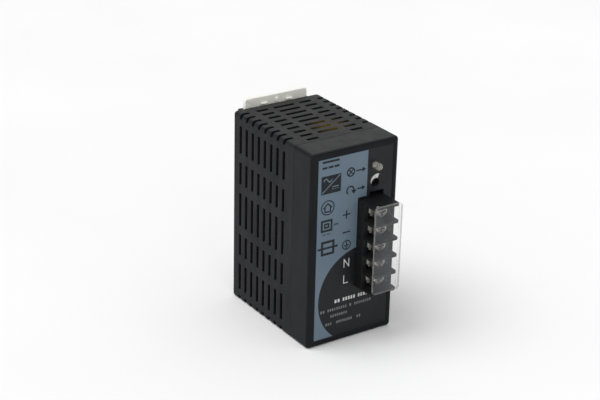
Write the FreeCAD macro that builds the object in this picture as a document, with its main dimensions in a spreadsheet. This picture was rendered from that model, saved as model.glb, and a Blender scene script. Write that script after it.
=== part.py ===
import FreeCAD, Part
import os
import re
import Sketcher

# DIN rail power supply, 24 V output, in a slotted 45 mm wide plastic case.
#
# Frame: millimetres, +Z up, -Y out of the front, +X to the right seen from the front.
# The origin is the middle of the rail seat: on the rail's centre line, in the case's rear
# face. Rules below give a place as (across, depth, height): across from the middle of the
# case, depth behind the front plane (negative stands proud of it) and height above the
# bottom face. DEPTH_SHIFT and HEIGHT_SHIFT carry such a place into the frame.

DRIVING_SIZES = {
    # case
    "case_width": 45, "case_height": 91, "case_depth": 61.7, "wall": 2, "edge_radius": 1.6,
    "front_edge_radius": 1.4, "rear_edge_radius": 1, "cover_depth": 13, "cover_wall": 3.2,
    "front_wall": 2.4, "tongue_reach": 1.8, "tongue_gap": 0.1,
    # ventilation slots
    "vent_width": 2, "vent_pitch": 4.957, "vent_count": 8, "first_vent": 20.95,
    "side_vent_centre_half": 8.15, "side_vent_middle_near": 12.2, "side_vent_middle_far": 22.9,
    "side_vent_end_near": 27, "side_vent_end_far": 40.1, "top_vent_centre_half": 5.4,
    "top_vent_outer_near": 8.3, "top_vent_outer_far": 14.4, "corner_vent_drop": 2.5,
    "corner_vent_reach": 4.4,
    # label on the front
    "label_left": -19, "label_width": 39, "label_bottom": 2.95, "label_height": 84.9,
    "label_recess": 0.5, "label_thickness": 0.3, "label_gap": 0.1,
    # terminal block
    "block_left": 2.3, "block_width": 13.5, "block_centre": 45.05, "block_half": 20.5,
    "terminal_count": 5, "terminal_pitch": 8, "block_floor": 2, "block_ledge": 4.2,
    "ledge_width": 2.2, "barrier_thickness": 1, "barrier_reach": 11.7, "barrier_corner": 1.5,
    "window_gap": 0.2, "side_groove_width": 0.8, "side_groove_depth": 0.4, "screw_across": 9.8,
    "screw_hole_depth": 3.6, "screw_hole_radius": 1.6, "pin_across": 11.8, "pin_width": 1,
    "pin_height": 0.8, "pin_tail": 2, "pin_gap": 0.1,
    # terminal plate, clamp and screw
    "plate_left": 6.9, "plate_width": 6.4, "plate_height": 6, "plate_thickness": 0.8,
    "tab_left": 5.5, "tab_thickness": 0.7, "tab_height": 2.2, "tab_reach": 0.6, "thread_hole_radius": 1.55,
    "clamp_width": 5.7, "clamp_side": 6.2, "clamp_thickness": 0.9, "clamp_lift": 4,
    "clamp_hole_radius": 1.65, "clamp_lip": 0.5, "screw_radius": 1.48, "screw_tip": 1.7,
    "screw_head_radius": 2.75, "screw_head_height": 2.1, "screw_head_edge": 0.5,
    "drive_width": 0.9, "drive_length": 3.6, "drive_depth": 1.2,
    # hinged terminal cover
    "lid_left": 2.1, "lid_width": 14, "lid_centre": 46, "lid_half": 20.35, "lid_inner": 12,
    "lid_thickness": 1, "lid_corner": 1.6, "lid_lip": 0.25, "lid_lip_width": 1,
    "ear_outer_half": 19.4, "ear_thickness": 0.6, "ear_left": 12.8, "hinge_across": 14.4,
    "hinge_depth": 9.4, "ear_back": 1.3, "ear_corner": 1.1, "hinge_pin_radius": 0.65,
    "hinge_pin_length": 1.05, "hinge_hole_radius": 0.71, "catch_height": 0.6,
    "catch_width": 0.9,
    # window over the front board, above the terminal block
    "notch_left": 8, "notch_width": 7.5, "notch_bottom": 65, "notch_height": 2.9,
    # light and voltage trimmer
    "led_across": 10.3, "led_height": 80.15, "led_hole_radius": 1.75, "led_radius": 1.65,
    "led_reach": 4.2, "led_rim_radius": 2, "led_rim_depth": 2.6, "led_rim_thickness": 0.9,
    "led_tail": 1.6, "led_lead_side": 0.5, "led_lead_spacing": 1.27, "trimmer_across": 10.8,
    "trimmer_centre": 71.85, "trimmer_hole_radius": 2, "trimmer_side": 6.6,
    "trimmer_depth": 3.8, "rotor_radius": 1.6, "rotor_bore_radius": 1.66, "rotor_front": 2.95,
    "rotor_length": 3, "rotor_end_gap": 0.1, "rotor_slot_width": 0.6, "rotor_slot_depth": 0.5,
    # boards
    "board_thickness": 1.6, "front_board_depth": 8.5, "front_board_half": 19,
    "front_board_bottom": 4, "front_board_height": 83, "main_board_across": 15.8,
    "main_board_depth": 10.7, "main_board_length": 47, "main_board_bottom": 4.4,
    "main_board_height": 82.2, "rib_thickness": 1, "rib_gap": 0.1, "rib_depth": 17.5,
    "rib_height": 3, "boss_radius": 2.5, "boss_left": -15, "boss_right": 11, "boss_low": 8,
    "boss_high": 83, "pilot_radius": 0.8, "pilot_start": 3.4, "board_hole_radius": 1.1,
    "board_screw_radius": 0.78, "board_screw_length": 6, "board_screw_head_radius": 2,
    "board_screw_head_height": 1.3,
    # clip for the 35 mm rail
    "rail_half": 17.5, "rail_lip": 1, "rail_gap": 0.3, "hook_overlap": 2, "hook_half": 16.5,
    "hook_thickness": 2, "hook_back": 3.9, "latch_half": 16.35, "latch_gap": 0.25,
    "latch_thickness": 2.2, "latch_overlap": 1.5, "latch_rise": 3.8, "latch_corner": 1,
    "nose_height": 4.5, "nose_chamfer": 1.2, "grip_rib_half": 0.6, "grip_rib_height": 1.8,
    "grip_rib_reach": 0.9, "grip_rib_lift": 0.3, "grip_foot_near": 5, "grip_foot_width": 3.2,
    "grip_foot_height": 0.6, "guide_gap": 0.25, "guide_thickness": 1.4, "guide_lip": 1.4,
    "guide_lip_thickness": 1, "guide_bottom": 69.8, "guide_rise": -1.2, "pocket_half": 2.2,
    "pocket_bottom": 69.8, "post_half": 1.9, "post_bottom": 83.6, "post_height": 2.4,
    "post_reach": 2.2, "post_gap": 0.1, "spring_radius": 1.1, "spring_wire_radius": 0.19,
    "spring_turns": 10, "spring_gap": 0.25,
}

# Parts that stand on the main board: reach off the board, extent in depth, extent in
# height, depth of the near side and height of the low side.
BOARD_BLOCKS = {
    "x_capacitor": (14, 7, 17, 20, 8),
    "bridge_rectifier": (9, 3.6, 15, 31, 8),
    "controller_chip": (3.4, 6.4, 9.4, 25.5, 38),
    "optocoupler": (3.4, 6.4, 4.6, 24, 57.5),
    "snubber_capacitor": (8, 3.5, 7, 20, 38),
    "power_switch": (10, 4.4, 15, 48.3, 29),
    "output_diode": (10, 4.4, 15, 48.3, 60),
    "switch_heatsink": (22, 2, 20, 53, 26),
    "diode_heatsink": (22, 2, 20, 53, 58),
}

# Round parts whose axis points off the main board: radius, reach, depth and height of
# the axis.
BOARD_CANS = {
    "input_fuse": (3.6, 7, 15.3, 12),
    "bulk_capacitor": (7.8, 26, 40.5, 40),
    "output_capacitor_upper": (4.9, 20, 47.5, 81),
    "output_capacitor_lower": (4.9, 20, 36.9, 56),
    "output_choke": (3.8, 10, 17, 55),
}

# Thin discs that stand on edge on the main board: radius, thickness, depth of the near
# side and height of the axis.
BOARD_DISCS = {
    "surge_varistor": (4.6, 4, 13.3, 24.5),
    "inrush_thermistor": (4.2, 3.6, 20.5, 30.6),
    "safety_capacitor": (3.8, 3, 24, 52.5),
}

CHOKE_SIZES = {
    "ring_outer": 7.2, "ring_inner": 3.9, "ring_height": 5, "ring_gap": 0.1, "coil_wrap": 1,
    "ring_depth": 46, "ring_centre": 16.5, "ring_lift": 2, "coil_split_half": 2.2,
}

TRANSFORMER_SIZES = {
    "transformer_depth": 27.3, "transformer_centre": 75.4, "flange_reach": 1.5,
    "flange_half_depth": 7.2, "flange_half_height": 10.6, "coil_length": 13, "tube_radius": 4.2,
    "tube_wall": 0.6,
    "copper_radius": 8.6, "tape_radius": 9.1, "tape_inset": 1, "core_leg_radius": 4,
    "core_half_height": 5, "core_leg_depth": 4, "core_leg_near": 9.6, "core_back": 3.4,
    "core_lift": 0.6, "core_air_gap": 0.2,
}

# Tools run past the stock by this much, in mm, so that a cut leaves no skin.
OVERRUN = 1
DEPTH_SHIFT = "- case_depth"
HEIGHT_SHIFT = "- case_height / 2"
MINIMUM_STOCK = 1e-6
ON_PLACE = 1e-3
AXES = {
    "x": FreeCAD.Vector(1, 0, 0),
    "y": FreeCAD.Vector(0, 1, 0),
    "z": FreeCAD.Vector(0, 0, 1),
}
TURN_TO_AXIS = {
    "x": FreeCAD.Rotation(AXES["y"], 90),
    "y": FreeCAD.Rotation(AXES["x"], -90),
    "z": FreeCAD.Rotation(),
}
TERMINALS = range(1, DRIVING_SIZES["terminal_count"] + 1)
FIRST_TERMINAL = "(block_centre - (terminal_count - 1) / 2 * terminal_pitch)"
WORD = re.compile(r"[a-z][a-z0-9_]*")

os.makedirs("parts", exist_ok=True)
doc = FreeCAD.newDocument("din_rail_power_supply")
sheet = doc.addObject("Spreadsheet::Sheet", "Sizes")
sizes = {}
sub_parts = {}


def fill_sheet():
    """Write every driving size to the sheet, one row each, with its alias."""
    sizes.update(DRIVING_SIZES)
    sizes.update(CHOKE_SIZES)
    sizes.update(TRANSFORMER_SIZES)
    for table, words in (
        (BOARD_BLOCKS, ("reach", "deep", "tall", "near", "low")),
        (BOARD_CANS, ("radius", "reach", "depth", "centre")),
        (BOARD_DISCS, ("radius", "deep", "near", "centre")),
    ):
        for name, values in table.items():
            for word, value in zip(words, values):
                sizes[f"{name}_{word}"] = value
    for row, (name, value) in enumerate(sizes.items(), start=1):
        sheet.set(f"A{row}", name.replace("_", " "))
        sheet.set(f"B{row}", str(value))
        sheet.setAlias(f"B{row}", name)
    doc.recompute()


def size(name):
    """A driving size as the sheet holds it."""
    return float(sheet.get(name))


def bound(rule):
    """A rule written with size names, as an expression on the sheet."""

    def on_sheet(word):
        name = word.group()
        return f"Sizes.{name}" if name in sizes else name

    return WORD.sub(on_sheet, rule)


def keep(label, solid):
    """Record a finished sub-part under its own label."""
    solid.Label = label
    sub_parts[label] = solid
    return solid


# ---- primitives and booleans ----


def place(solid, across, depth, height):
    solid.setExpression("Placement.Base.x", bound(across))
    solid.setExpression("Placement.Base.y", bound(f"{depth} {DEPTH_SHIFT}"))
    solid.setExpression("Placement.Base.z", bound(f"{height} {HEIGHT_SHIFT}"))
    return solid


def box(name, corner, extent):
    """Box from its left, front, low corner and its extents."""
    solid = doc.addObject("Part::Box", name)
    for side, rule in zip(("Length", "Width", "Height"), extent):
        solid.setExpression(side, bound(rule))
    return place(solid, *corner)


def rod(name, axis, start, radius, length):
    """Cylinder from the centre of one end, along a positive axis."""
    solid = doc.addObject("Part::Cylinder", name)
    solid.setExpression("Radius", bound(radius))
    solid.setExpression("Height", bound(length))
    solid.Placement.Rotation = TURN_TO_AXIS[axis]
    return place(solid, *start)


def joined(name, *solids):
    whole = doc.addObject("Part::MultiFuse", name)
    whole.Shapes = list(solids)
    return whole


def cut(name, base, *tools):
    tool = tools[0] if len(tools) == 1 else joined(f"{name}_tools", *tools)
    rest = doc.addObject("Part::Cut", name)
    rest.Base = base
    rest.Tool = tool
    return rest


# ---- bodies, sketches and features ----


def new_body(label):
    body = doc.addObject("PartDesign::Body", label)
    body.setExpression("Placement.Base.y", bound(DEPTH_SHIFT))
    body.setExpression("Placement.Base.z", bound(HEIGHT_SHIFT))
    return keep(label, body)


def origin_feature(body, role):
    return next(item for item in body.Origin.OriginFeatures if item.Role == role)


def measure(sketch, name, kind, first, first_point, second, second_point, rule):
    span = Sketcher.Constraint(kind, first, first_point, second, second_point, 1.0)
    index = sketch.addConstraint(span)
    sketch.renameConstraint(index, name)
    sketch.setExpression(f"Constraints.{name}", bound(rule))


def rectangle(sketch, tag, left, bottom, width, height):
    first = sketch.GeometryCount
    corners = [FreeCAD.Vector(*corner, 0) for corner in ((0, 0), (1, 0), (1, 1), (0, 1))]
    for start, end in zip(corners, corners[1:] + corners[:1]):
        sketch.addGeometry(Part.LineSegment(start, end))
    for side in range(4):
        following = first + (side + 1) % 4
        sketch.addConstraint(Sketcher.Constraint("Coincident", first + side, 2, following, 1))
        direction = "Vertical" if side % 2 else "Horizontal"
        sketch.addConstraint(Sketcher.Constraint(direction, first + side))
    measure(sketch, f"{tag}_width", "DistanceX", first, 1, first, 2, width)
    measure(sketch, f"{tag}_height", "DistanceY", first + 1, 1, first + 1, 2, height)
    measure(sketch, f"{tag}_left", "DistanceX", -1, 1, first, 1, left)
    measure(sketch, f"{tag}_bottom", "DistanceY", -1, 1, first, 1, bottom)


def circle(sketch, tag, across, up, radius):
    index = sketch.addGeometry(Part.Circle(FreeCAD.Vector(0, 0, 0), AXES["z"], 1))
    ring = sketch.addConstraint(Sketcher.Constraint("Radius", index, 1.0))
    sketch.renameConstraint(ring, f"{tag}_radius")
    sketch.setExpression(f"Constraints.{tag}_radius", bound(radius))
    measure(sketch, f"{tag}_across", "DistanceX", -1, 1, index, 3, across)
    measure(sketch, f"{tag}_up", "DistanceY", -1, 1, index, 3, up)


def extrude(body, kind, name, plane, start, length, *outlines):
    """Pad or Pocket from start, along the plane's positive axis, by length.

    Each outline is a drawing function followed by its arguments."""
    sketch = body.newObject("Sketcher::SketchObject", f"{name}_sketch")
    sketch.AttachmentSupport = (origin_feature(body, f"{plane}_Plane"), [""])
    sketch.MapMode = "FlatFace"
    faces_back = plane == "XZ"
    sketch.setExpression("AttachmentOffset.Base.z", bound(f"-({start})" if faces_back else start))
    for draw, *rules in outlines:
        draw(sketch, *rules)
    before = body.Shape.Volume if body.Tip else 0
    feature = body.newObject(f"PartDesign::{kind}", name)
    feature.Profile = sketch
    feature.setExpression("Length", bound(length))
    feature.Reversed = faces_back if kind == "Pad" else not faces_back
    body.Tip = feature
    doc.recompute()
    change = feature.Shape.Volume - before
    if (change if kind == "Pad" else -change) < MINIMUM_STOCK:
        raise RuntimeError(f"{name} changes nothing")
    return feature


def repeat(body, name, features, role, length, count):
    pattern = body.newObject("PartDesign::LinearPattern", name)
    pattern.Originals = features
    pattern.Direction = (origin_feature(body, role), [""])
    pattern.setExpression("Length", bound(length))
    pattern.setExpression("Occurrences", bound(count))
    body.Tip = pattern
    doc.recompute()
    return pattern


def dress(body, kind, name, amount, wanted):
    """Fillet or Chamfer on every edge that the test accepts."""
    base = body.Tip
    names = [f"Edge{index}" for index, edge in enumerate(base.Shape.Edges, start=1) if wanted(edge)]
    feature = body.newObject(f"PartDesign::{kind}", name)
    feature.Base = (base, names)
    feature.setExpression("Radius" if kind == "Fillet" else "Size", bound(amount))
    body.Tip = feature
    doc.recompute()
    return feature


def runs_along(edge, axis):
    if edge.Curve.TypeId != "Part::GeomLine":
        return False
    return edge.tangentAt(edge.FirstParameter).cross(AXES[axis]).Length < MINIMUM_STOCK


def lies_at(edge, axis, place_on_axis):
    low = getattr(edge.BoundBox, f"{axis.upper()}Min")
    high = getattr(edge.BoundBox, f"{axis.upper()}Max")
    return abs(low - place_on_axis) < ON_PLACE and abs(high - place_on_axis) < ON_PLACE


# ---- case ----


def side_vents():
    """Five slots of one column, mirrored about the middle of the case."""
    near = "first_vent - vent_width / 2"
    middle = "case_height / 2"
    rows = [(f"{middle} - side_vent_centre_half", "2 * side_vent_centre_half")]
    for word in ("middle", "end"):
        tall = f"side_vent_{word}_far - side_vent_{word}_near"
        rows.append((f"{middle} + side_vent_{word}_near", tall))
        rows.append((f"{middle} - side_vent_{word}_far", tall))
    return [
        (rectangle, f"row_{index}", near, low, "vent_width", tall)
        for index, (low, tall) in enumerate(rows)
    ]


def outer_top_vents(near):
    wide = "top_vent_outer_far - top_vent_outer_near"
    return [
        (rectangle, "left_slot", "-top_vent_outer_far", near, wide, "vent_width"),
        (rectangle, "right_slot", "top_vent_outer_near", near, wide, "vent_width"),
    ]


def corner_vents():
    """Slots that wrap round the case's four long edges."""
    wide = "case_width / 2 + corner_vent_reach"
    return [
        (rectangle, f"corner_{side}_{end}", left, low, wide, "case_height")
        for side, left in (
            ("left", "-case_width"),
            ("right", "case_width / 2 - corner_vent_reach"),
        )
        for end, low in (
            ("low", "corner_vent_drop - case_height"),
            ("high", "case_height - corner_vent_drop"),
        )
    ]


def cut_vents(body):
    near = "first_vent - vent_width / 2"
    centre_slot = (
        rectangle, "centre_slot", "-top_vent_centre_half", near, "2 * top_vent_centre_half",
        "vent_width",
    )
    side = extrude(
        body, "Pocket", "side_vents", "YZ", "-case_width", "2 * case_width", *side_vents()
    )
    top = extrude(
        body, "Pocket", "top_vents", "XY", "-case_height", "3 * case_height",
        centre_slot, *outer_top_vents(near),
    )
    corner = extrude(body, "Pocket", "corner_vents", "XZ", near, "vent_width", *corner_vents())
    repeat(
        body, "vent_columns", [side, top, corner], "Y_Axis", "(vent_count - 1) * vent_pitch",
        "vent_count",
    )
    extrude(
        body, "Pocket", "front_vents", "XY", "-case_height", "3 * case_height",
        *outer_top_vents(f"{near} - vent_pitch"),
    )


def board_rib_outlines():
    """Four ribs, at the top and bottom, that hold the main board's edges."""
    outlines = []
    for side, left in (
        ("near", "main_board_across - rib_gap - rib_thickness"),
        ("far", "main_board_across + board_thickness + rib_gap"),
    ):
        for end, low in (("low", "wall"), ("high", "case_height - wall - rib_height")):
            outlines.append((rectangle, f"{side}_{end}", left, low, "rib_thickness", "rib_height"))
    return outlines


def rear_shell():
    body = new_body("rear_shell")
    extrude(
        body, "Pad", "shell_block", "XZ", "cover_depth", "case_depth - cover_depth",
        (rectangle, "outline", "-case_width / 2", "0", "case_width", "case_height"),
    )
    dress(body, "Fillet", "shell_long_edges", "edge_radius", lambda edge: runs_along(edge, "y"))
    rear = size("case_depth")
    dress(
        body, "Fillet", "shell_rear_edges", "rear_edge_radius",
        lambda edge: lies_at(edge, "y", rear),
    )
    extrude(
        body, "Pocket", "shell_hollow", "XZ", "cover_depth", "case_depth - cover_depth - wall",
        (
            rectangle, "hollow", "wall - case_width / 2", "wall", "case_width - 2 * wall",
            "case_height - 2 * wall",
        ),
    )
    cut_vents(body)
    extrude(
        body, "Pad", "board_ribs", "XZ", "rib_depth", "case_depth - wall - rib_depth",
        *board_rib_outlines(),
    )
    rail_side(body)


def rail_side(body):
    """The fixed hook, the latch's two guides and the post that its spring bears on."""
    rail_bottom = "case_height / 2 - rail_half"
    gap_back = "case_depth + rail_lip + rail_gap"
    extrude(
        body, "Pad", "hook_shelf", "YZ", "-hook_half", "2 * hook_half",
        (
            rectangle, "shelf", "case_depth", f"{rail_bottom} - rail_gap - hook_thickness",
            "hook_back", "hook_thickness",
        ),
    )
    extrude(
        body, "Pad", "hook_lip", "YZ", "-hook_half", "2 * hook_half",
        (
            rectangle, "lip", gap_back, f"{rail_bottom} - rail_gap",
            "hook_back - rail_lip - rail_gap", "rail_gap + hook_overlap",
        ),
    )
    slide_back = "latch_gap + latch_thickness + guide_gap"
    inner = "latch_half + guide_gap"
    outer = f"{inner} + guide_thickness"
    uprights = [
        (rectangle, side, left, "case_depth", "guide_thickness", slide_back)
        for side, left in (("left", f"-({outer})"), ("right", inner))
    ]
    lips = [
        (
            rectangle, side, left, f"case_depth + {slide_back}", "guide_lip + guide_thickness",
            "guide_lip_thickness",
        )
        for side, left in (("left", f"-({outer})"), ("right", f"{inner} - guide_lip"))
    ]
    # Below the rear wall's rounded edge the guides stand on the wall; above it they overlap
    # the wall's flat part by a foot.
    flat_top = "case_height - edge_radius"
    foot = "wall / 2"
    guide_height = "case_height + guide_rise - guide_bottom"
    extrude(
        body, "Pad", "latch_guides", "XY", "guide_bottom", f"{flat_top} - guide_bottom", *uprights
    )
    extrude(
        body, "Pad", "guide_tops", "XY", f"{flat_top} - {foot}",
        f"guide_rise + edge_radius + {foot}", *uprights,
    )
    extrude(body, "Pad", "guide_lips", "XY", "guide_bottom", guide_height, *lips)
    extrude(
        body, "Pad", "spring_post", "XZ", "case_depth", "post_reach",
        (rectangle, "post", "-post_half", "post_bottom", "2 * post_half", "post_height"),
    )


def block_window(sketch):
    rectangle(
        sketch, "window", "block_left - window_gap", "block_centre - block_half - window_gap",
        "block_width + 2 * window_gap", "2 * (block_half + window_gap)",
    )


def bosses(radius):
    return [
        (circle, "low_left", "boss_left", "boss_low", radius),
        (circle, "high_left", "boss_left", "boss_high", radius),
        (circle, "low_right", "boss_right", "boss_low", radius),
    ]


def front_cover():
    body = new_body("front_cover")
    extrude(
        body, "Pad", "cover_block", "XZ", "0", "cover_depth",
        (rectangle, "outline", "-case_width / 2", "0", "case_width", "case_height"),
    )
    dress(body, "Fillet", "cover_long_edges", "edge_radius", lambda edge: runs_along(edge, "y"))
    dress(
        body, "Fillet", "cover_front_edges", "front_edge_radius",
        lambda edge: lies_at(edge, "y", 0),
    )
    extrude(
        body, "Pocket", "cover_hollow", "XZ", "front_wall", "cover_depth - front_wall",
        (
            rectangle, "hollow", "cover_wall - case_width / 2", "cover_wall",
            "case_width - 2 * cover_wall", "case_height - 2 * cover_wall",
        ),
    )
    extrude(
        body, "Pad", "cover_tongue", "XZ", "cover_depth", "tongue_reach",
        (
            rectangle, "outside", "wall + tongue_gap - case_width / 2", "wall + tongue_gap",
            "case_width - 2 * (wall + tongue_gap)", "case_height - 2 * (wall + tongue_gap)",
        ),
        (
            rectangle, "inside", "cover_wall - case_width / 2", "cover_wall",
            "case_width - 2 * cover_wall", "case_height - 2 * cover_wall",
        ),
    )
    extrude(
        body, "Pocket", "label_recess", "XZ", "0", "label_recess",
        (rectangle, "recess", "label_left", "label_bottom", "label_width", "label_height"),
    )
    through = f"front_wall + {OVERRUN}"
    extrude(body, "Pocket", "block_window", "XZ", "0", through, (block_window,))
    extrude(
        body, "Pocket", "board_notch", "XZ", "0", through,
        (rectangle, "notch", "notch_left", "notch_bottom", "notch_width", "notch_height"),
    )
    extrude(
        body, "Pocket", "front_holes", "XZ", "0", through,
        (circle, "led", "led_across", "led_height", "led_hole_radius"),
        (circle, "trimmer", "trimmer_across", "trimmer_centre", "trimmer_hole_radius"),
    )
    extrude(
        body, "Pad", "board_bosses", "XZ", "front_wall", "front_board_depth - front_wall",
        *bosses("boss_radius"),
    )
    extrude(
        body, "Pocket", "pilot_holes", "XZ", "pilot_start", "front_board_depth - pilot_start",
        *bosses("pilot_radius"),
    )


def front_label():
    body = new_body("front_label")
    depth = "label_recess - label_thickness"
    extrude(
        body, "Pad", "label_film", "XZ", depth, "label_thickness",
        (
            rectangle, "outline", "label_left + label_gap", "label_bottom + label_gap",
            "label_width - 2 * label_gap", "label_height - 2 * label_gap",
        ),
    )
    extrude(body, "Pocket", "label_window", "XZ", depth, "label_thickness", (block_window,))
    extrude(
        body, "Pocket", "label_notch", "XZ", depth, "label_thickness",
        (rectangle, "notch", "notch_left", "notch_bottom", "notch_width", "notch_height"),
    )
    extrude(
        body, "Pocket", "label_holes", "XZ", depth, "label_thickness",
        (circle, "led", "led_across", "led_height", "led_hole_radius"),
        (circle, "trimmer", "trimmer_across", "trimmer_centre", "trimmer_hole_radius"),
    )


# ---- terminal block ----


def terminal_block():
    body = new_body("terminal_block")
    low = "block_centre - block_half"
    tall = "2 * block_half"
    extrude(
        body, "Pad", "block_base", "XZ", "-block_floor", "block_floor + front_board_depth",
        (rectangle, "base", "block_left", low, "block_width", tall),
    )
    extrude(
        body, "Pad", "block_ledge", "XZ", "-block_ledge", "block_ledge - block_floor",
        (rectangle, "ledge", "block_left", low, "ledge_width", tall),
    )
    groove = extrude(
        body, "Pocket", "side_groove", "XZ", "-block_ledge", "block_ledge - label_recess",
        (
            rectangle, "groove", "block_left",
            f"{FIRST_TERMINAL} + terminal_pitch / 2 - side_groove_width / 2",
            "side_groove_depth", "side_groove_width",
        ),
    )
    repeat(
        body, "side_grooves", [groove], "Z_Axis", "(terminal_count - 2) * terminal_pitch",
        "terminal_count - 1",
    )
    barrier = extrude(
        body, "Pad", "barrier", "XY", low, "barrier_thickness",
        (
            rectangle, "wall", "block_left", "-barrier_reach", "block_width",
            "barrier_reach - block_floor",
        ),
    )
    repeat(
        body, "barriers", [barrier], "Z_Axis", "terminal_count * terminal_pitch",
        "terminal_count + 1",
    )
    reach = -size("barrier_reach")
    dress(
        body, "Fillet", "barrier_corners", "barrier_corner",
        lambda edge: runs_along(edge, "z") and lies_at(edge, "y", reach),
    )
    bore = extrude(
        body, "Pocket", "screw_bore", "XZ", "-block_floor", "block_floor + screw_hole_depth",
        (circle, "bore", "screw_across", FIRST_TERMINAL, "screw_hole_radius"),
    )
    slot = extrude(
        body, "Pocket", "pin_slot", "XZ", "-block_floor", "block_floor + front_board_depth",
        (
            rectangle, "slot", "pin_across - pin_width / 2 - pin_gap",
            f"{FIRST_TERMINAL} - pin_height / 2 - pin_gap",
            "pin_width + 2 * pin_gap", "pin_height + 2 * pin_gap",
        ),
    )
    repeat(
        body, "terminal_openings", [bore, slot], "Z_Axis",
        "(terminal_count - 1) * terminal_pitch", "terminal_count",
    )
    top_barrier = "block_centre + block_half - barrier_thickness"
    for end, start in (("low", low), ("high", top_barrier)):
        extrude(
            body, "Pocket", f"hinge_hole_{end}", "XY", start, "barrier_thickness",
            (circle, "hinge", "hinge_across", "-hinge_depth", "hinge_hole_radius"),
        )


def terminal_height(number):
    """Height of a terminal's centre line, counted from the top one."""
    return f"({FIRST_TERMINAL} + (terminal_count - {number}) * terminal_pitch)"


def terminal_contact(number):
    centre = terminal_height(number)
    tag = f"contact_{number}"
    front = "-block_floor - plate_thickness"
    plate = box(
        f"{tag}_plate", ("plate_left", front, f"{centre} - plate_height / 2"),
        ("plate_width", "plate_thickness", "plate_height"),
    )
    tongue = box(
        f"{tag}_tongue", ("tab_left", front, f"{centre} - tab_height / 2"),
        ("plate_left + plate_thickness - tab_left", "plate_thickness", "tab_height"),
    )
    tab = box(
        f"{tag}_tab", ("tab_left", f"{front} - tab_reach", f"{centre} - tab_height / 2"),
        ("tab_thickness", "plate_thickness + tab_reach", "tab_height"),
    )
    behind_board = "front_board_depth + board_thickness + pin_tail"
    pin = box(
        f"{tag}_pin", ("pin_across - pin_width / 2", front, f"{centre} - pin_height / 2"),
        ("pin_width", f"plate_thickness + block_floor + {behind_board}", "pin_height"),
    )
    hole = rod(
        f"{tag}_hole", "y", ("screw_across", "-block_ledge", centre), "thread_hole_radius",
        "block_ledge",
    )
    whole = joined(f"{tag}_blank", plate, tongue, tab, pin)
    keep(f"terminal_contact_{number}", cut(f"{tag}_cut", whole, hole))


def clamp_washer(number):
    centre = terminal_height(number)
    tag = f"clamp_{number}"
    half = "clamp_side / 2"
    left = "screw_across - clamp_width / 2"
    plate = box(
        f"{tag}_plate", (left, "-clamp_lift - clamp_thickness", f"{centre} - {half}"),
        ("clamp_width", "clamp_thickness", "clamp_side"),
    )
    lips = [
        box(
            f"{tag}_lip_{side}", (left, "-clamp_lift - clamp_thickness", low),
            ("clamp_width", "clamp_thickness + clamp_lip", "clamp_lip"),
        )
        for side, low in (
            ("low", f"{centre} - {half}"),
            ("high", f"{centre} + {half} - clamp_lip"),
        )
    ]
    hole = rod(
        f"{tag}_hole", "y", ("screw_across", "-clamp_lift - 2 * clamp_thickness", centre),
        "clamp_hole_radius", "3 * clamp_thickness",
    )
    whole = joined(f"{tag}_blank", plate, *lips)
    keep(f"clamp_washer_{number}", cut(f"{tag}_cut", whole, hole))


def terminal_screw(number):
    """Pan head screw with a cross drive."""
    centre = terminal_height(number)
    tag = f"screw_{number}"
    seat = "-clamp_lift - clamp_thickness"
    shank = rod(
        f"{tag}_shank", "y", ("screw_across", seat, centre), "screw_radius",
        "clamp_lift + clamp_thickness + screw_tip",
    )
    head = rod(
        f"{tag}_head", "y", ("screw_across", f"{seat} - screw_head_height", centre),
        "screw_head_radius", "screw_head_height",
    )
    rounded = doc.addObject("Part::Fillet", f"{tag}_rounded")
    rounded.Base = head
    doc.recompute()
    front = head.Placement.Base.y
    edge_radius = size("screw_head_edge")
    rounded.Edges = [
        (index, edge_radius, edge_radius)
        for index, edge in enumerate(head.Shape.Edges, start=1)
        if lies_at(edge, "y", front)
    ]
    drives = [
        box(
            f"{tag}_drive_{way}",
            (f"screw_across - {wide} / 2", f"{seat} - screw_head_height", f"{centre} - {tall} / 2"),
            (wide, "drive_depth", tall),
        )
        for way, wide, tall in (
            ("flat", "drive_length", "drive_width"),
            ("upright", "drive_width", "drive_length"),
        )
    ]
    whole = joined(f"{tag}_blank", shank, rounded)
    keep(f"terminal_screw_{number}", cut(f"{tag}_cut", whole, *drives))


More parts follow.
